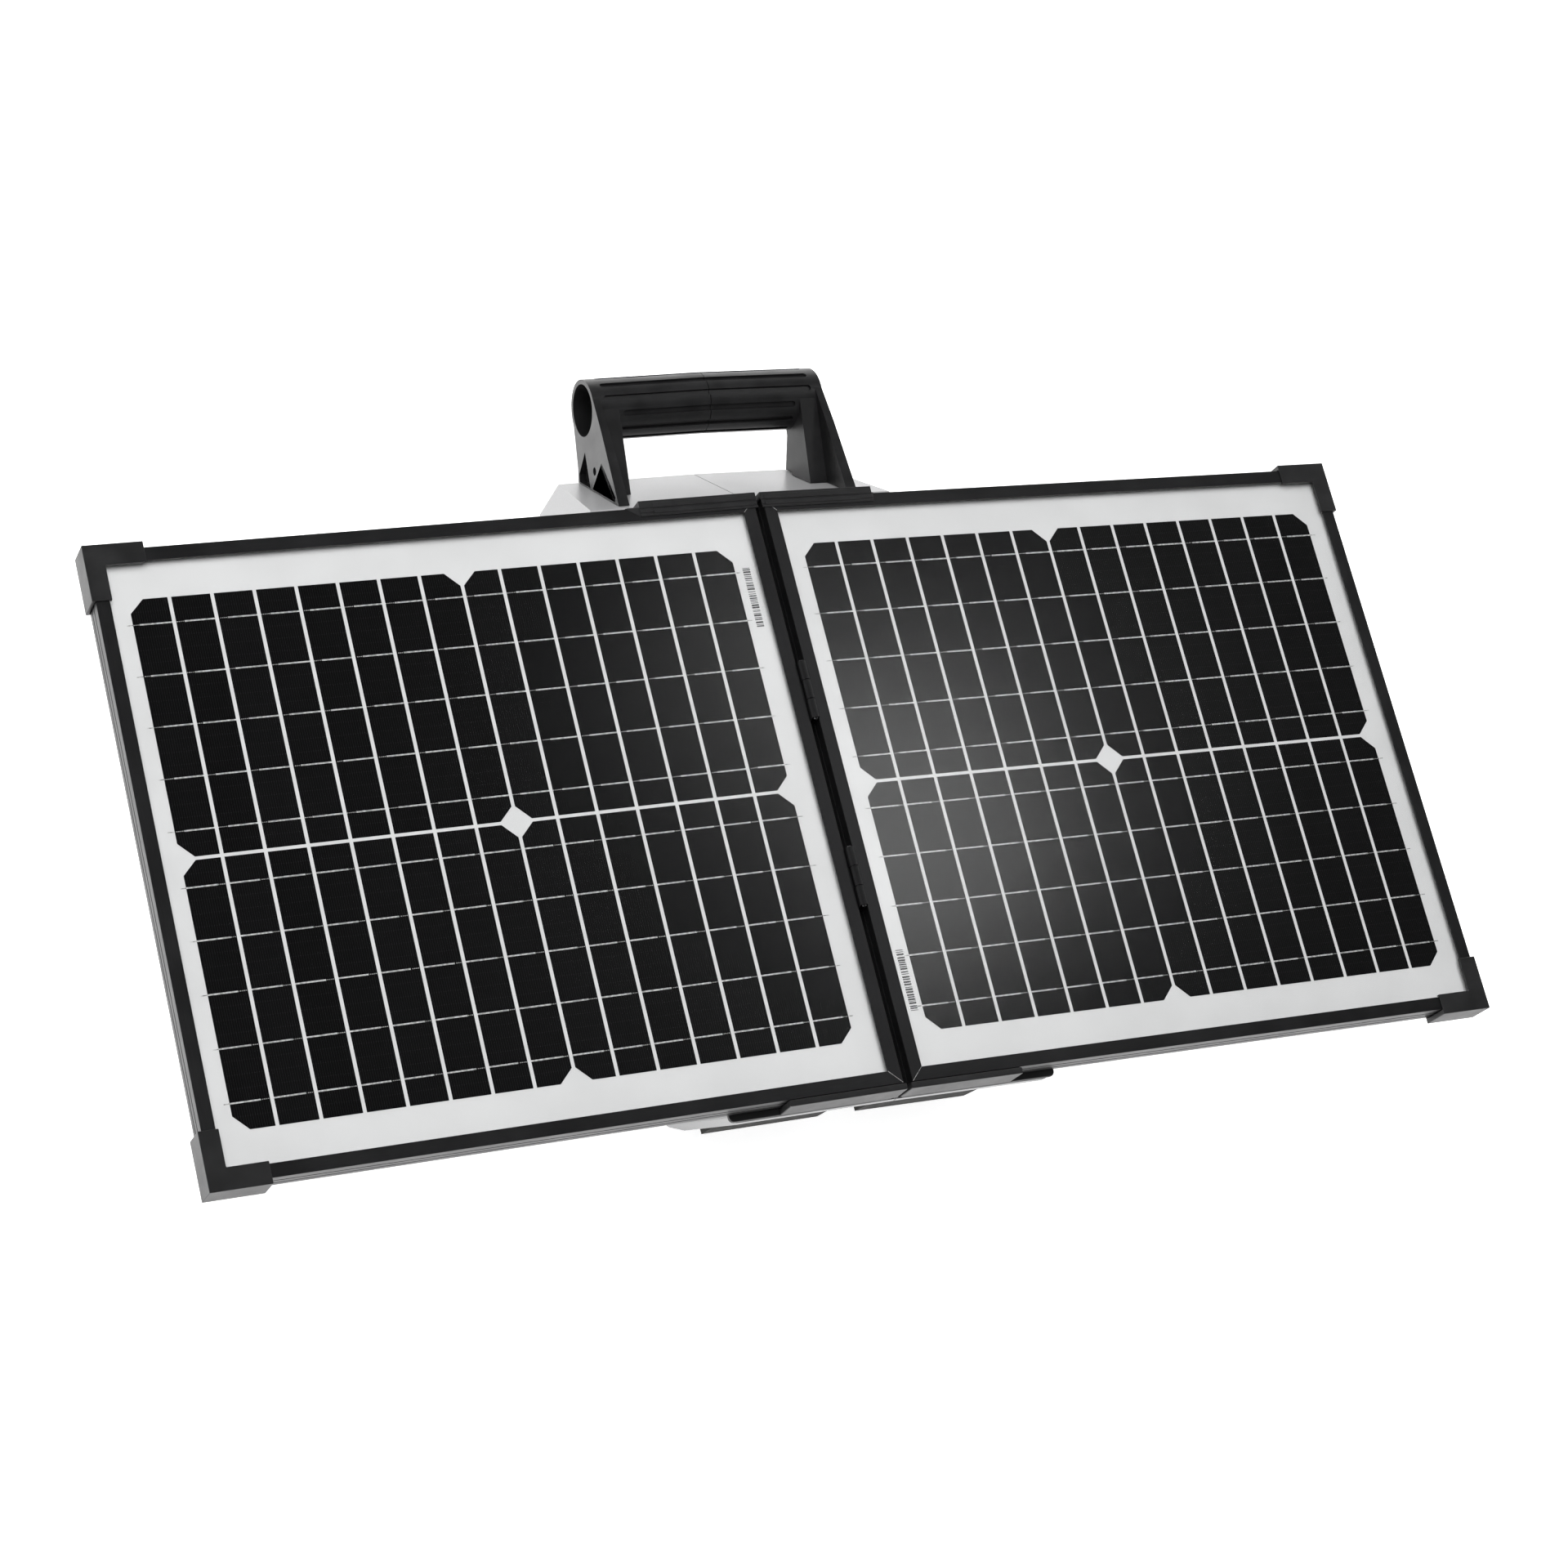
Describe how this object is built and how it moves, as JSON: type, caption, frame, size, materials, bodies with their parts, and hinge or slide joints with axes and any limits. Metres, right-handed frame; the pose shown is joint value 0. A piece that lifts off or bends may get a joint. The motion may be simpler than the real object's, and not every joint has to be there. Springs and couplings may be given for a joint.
{
  "type": "folding solar panel",
  "caption": "Folding solar panel: framed glass-fronted halves on a common hinge, with a split rear housing and a split tubular carrying handle.",
  "frame": {"origin": "centre of the bounding box at floor level, with the open panel lying on its rear feet", "axes": "+X across the open panel from the left half to the right half, +Y along the hinge towards the handle, +Z out of the glass"},
  "size_m": [0.8388, 0.487, 0.1276],
  "materials": {
    "anodised_black": "black anodised, satin",
    "moulded_black": "black moulded plastic with a fine grain",
    "housing_grey": "silver-grey moulded plastic, satin",
    "clear_glass": "low-iron tempered glass",
    "cell_sheet": "dark cells on a white backsheet",
    "rubber_black": "matt black rubber",
    "steel": "zinc-plated steel",
    "pack_wrap": "blue shrink wrap",
    "circuit_green": "green solder mask"
  },
  "bodies": {
    "left_half": {"frame_rail_top_left": "anodised_black", "frame_rail_bottom_left": "anodised_black", "frame_rail_hinge_left": "anodised_black", "frame_rail_outer_left": "anodised_black", "cover_glass_left": "clear_glass", "cell_laminate_left": "cell_sheet", "junction_box_left": "moulded_black", "junction_lid_left": "moulded_black", "corner_cap_top_left": "moulded_black", "corner_cap_bottom_left": "moulded_black", "edge_clip_top_left": "moulded_black", "edge_clip_bottom_left": "moulded_black", "carrier_plate_left": "moulded_black", "housing_shell_left": "housing_grey", "rear_cover_left": "housing_grey", "cover_screw_1_left": "steel", "cover_screw_2_left": "steel", "cover_screw_3_left": "steel", "cover_screw_4_left": "steel", "handle_half_left": "moulded_black", "handle_screw_left": "steel", "foot_bottom_left": "rubber_black", "foot_rear_lower_left": "rubber_black", "foot_rear_upper_left": "rubber_black", "hinge_top_leaf_left": "anodised_black", "hinge_bottom_leaf_left": "anodised_black", "hinge_top_pin": "steel", "hinge_bottom_pin": "steel", "battery_pack": "pack_wrap"},
    "right_half": {"frame_rail_top_right": "anodised_black", "frame_rail_bottom_right": "anodised_black", "frame_rail_hinge_right": "anodised_black", "frame_rail_outer_right": "anodised_black", "cover_glass_right": "clear_glass", "cell_laminate_right": "cell_sheet", "junction_box_right": "moulded_black", "junction_lid_right": "moulded_black", "corner_cap_top_right": "moulded_black", "corner_cap_bottom_right": "moulded_black", "edge_clip_top_right": "moulded_black", "edge_clip_bottom_right": "moulded_black", "carrier_plate_right": "moulded_black", "housing_shell_right": "housing_grey", "rear_cover_right": "housing_grey", "cover_screw_1_right": "steel", "cover_screw_2_right": "steel", "cover_screw_3_right": "steel", "cover_screw_4_right": "steel", "handle_half_right": "moulded_black", "handle_screw_right": "steel", "foot_bottom_right": "rubber_black", "foot_rear_lower_right": "rubber_black", "foot_rear_upper_right": "rubber_black", "hinge_top_leaf_right": "anodised_black", "hinge_bottom_leaf_right": "anodised_black", "charge_controller": "circuit_green", "output_socket": "moulded_black"}
  },
  "joints": [
    {"name": "fold_hinge", "type": "hinge", "parent": "left_half", "child": "right_half", "pos_m": [0, 0, 0.125], "axis": [0, -1, 0], "range_deg": [0, 183.1]}
  ]
}
